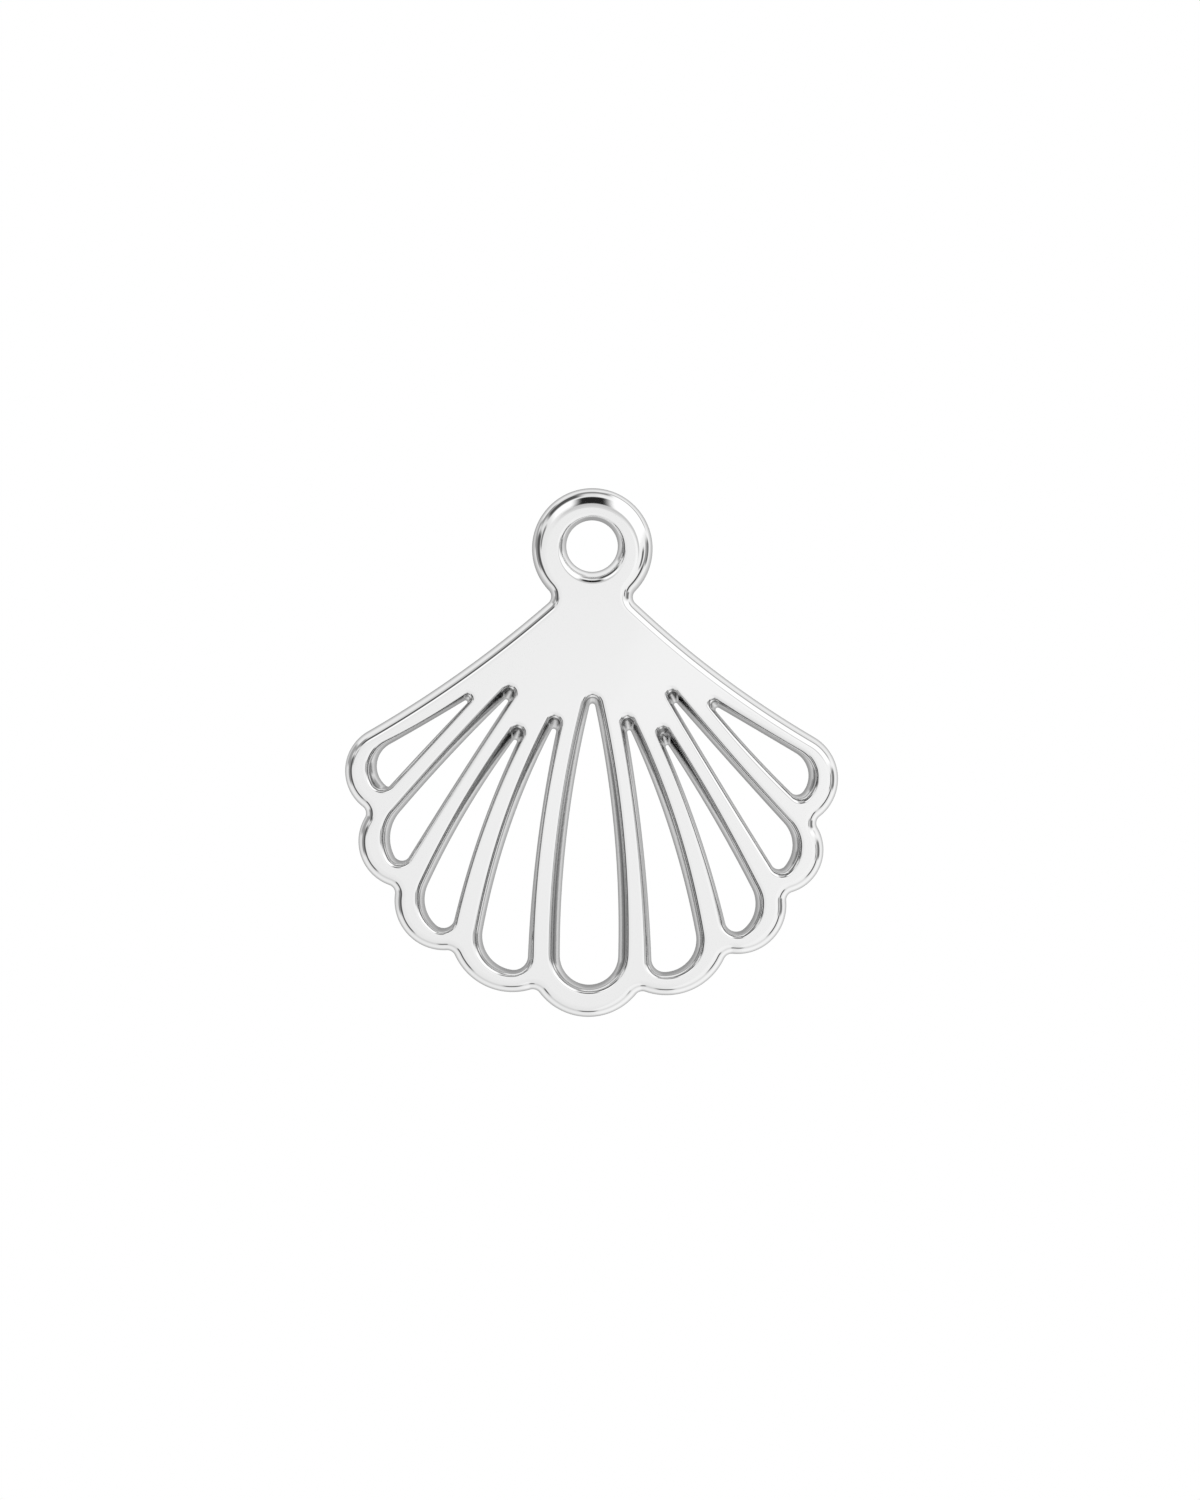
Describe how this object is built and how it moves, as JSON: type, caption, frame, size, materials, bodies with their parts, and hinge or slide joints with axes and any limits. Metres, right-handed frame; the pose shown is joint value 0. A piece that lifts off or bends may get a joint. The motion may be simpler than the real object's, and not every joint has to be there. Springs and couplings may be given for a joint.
{
  "type": "scallop shell pendant",
  "caption": "Openwork scallop shell pendant: a flat fan with teardrop slots and a lobed rim, cast in one piece with a round hanging loop.",
  "frame": {"origin": "under the middle of the outline's box, on the surface that the pendant's flat back lies on", "axes": "+Z out of the polished face, +Y from the fan towards the hanging loop, +X to the right of the face"},
  "size_m": [0.017, 0.0182, 0.0014],
  "materials": {
    "polished_silver": "mirror-polished silver, with a rougher cast grain on the walls of the slots"
  },
  "bodies": {
    "root": {"shell_pendant": "polished_silver"}
  },
  "joints": []
}
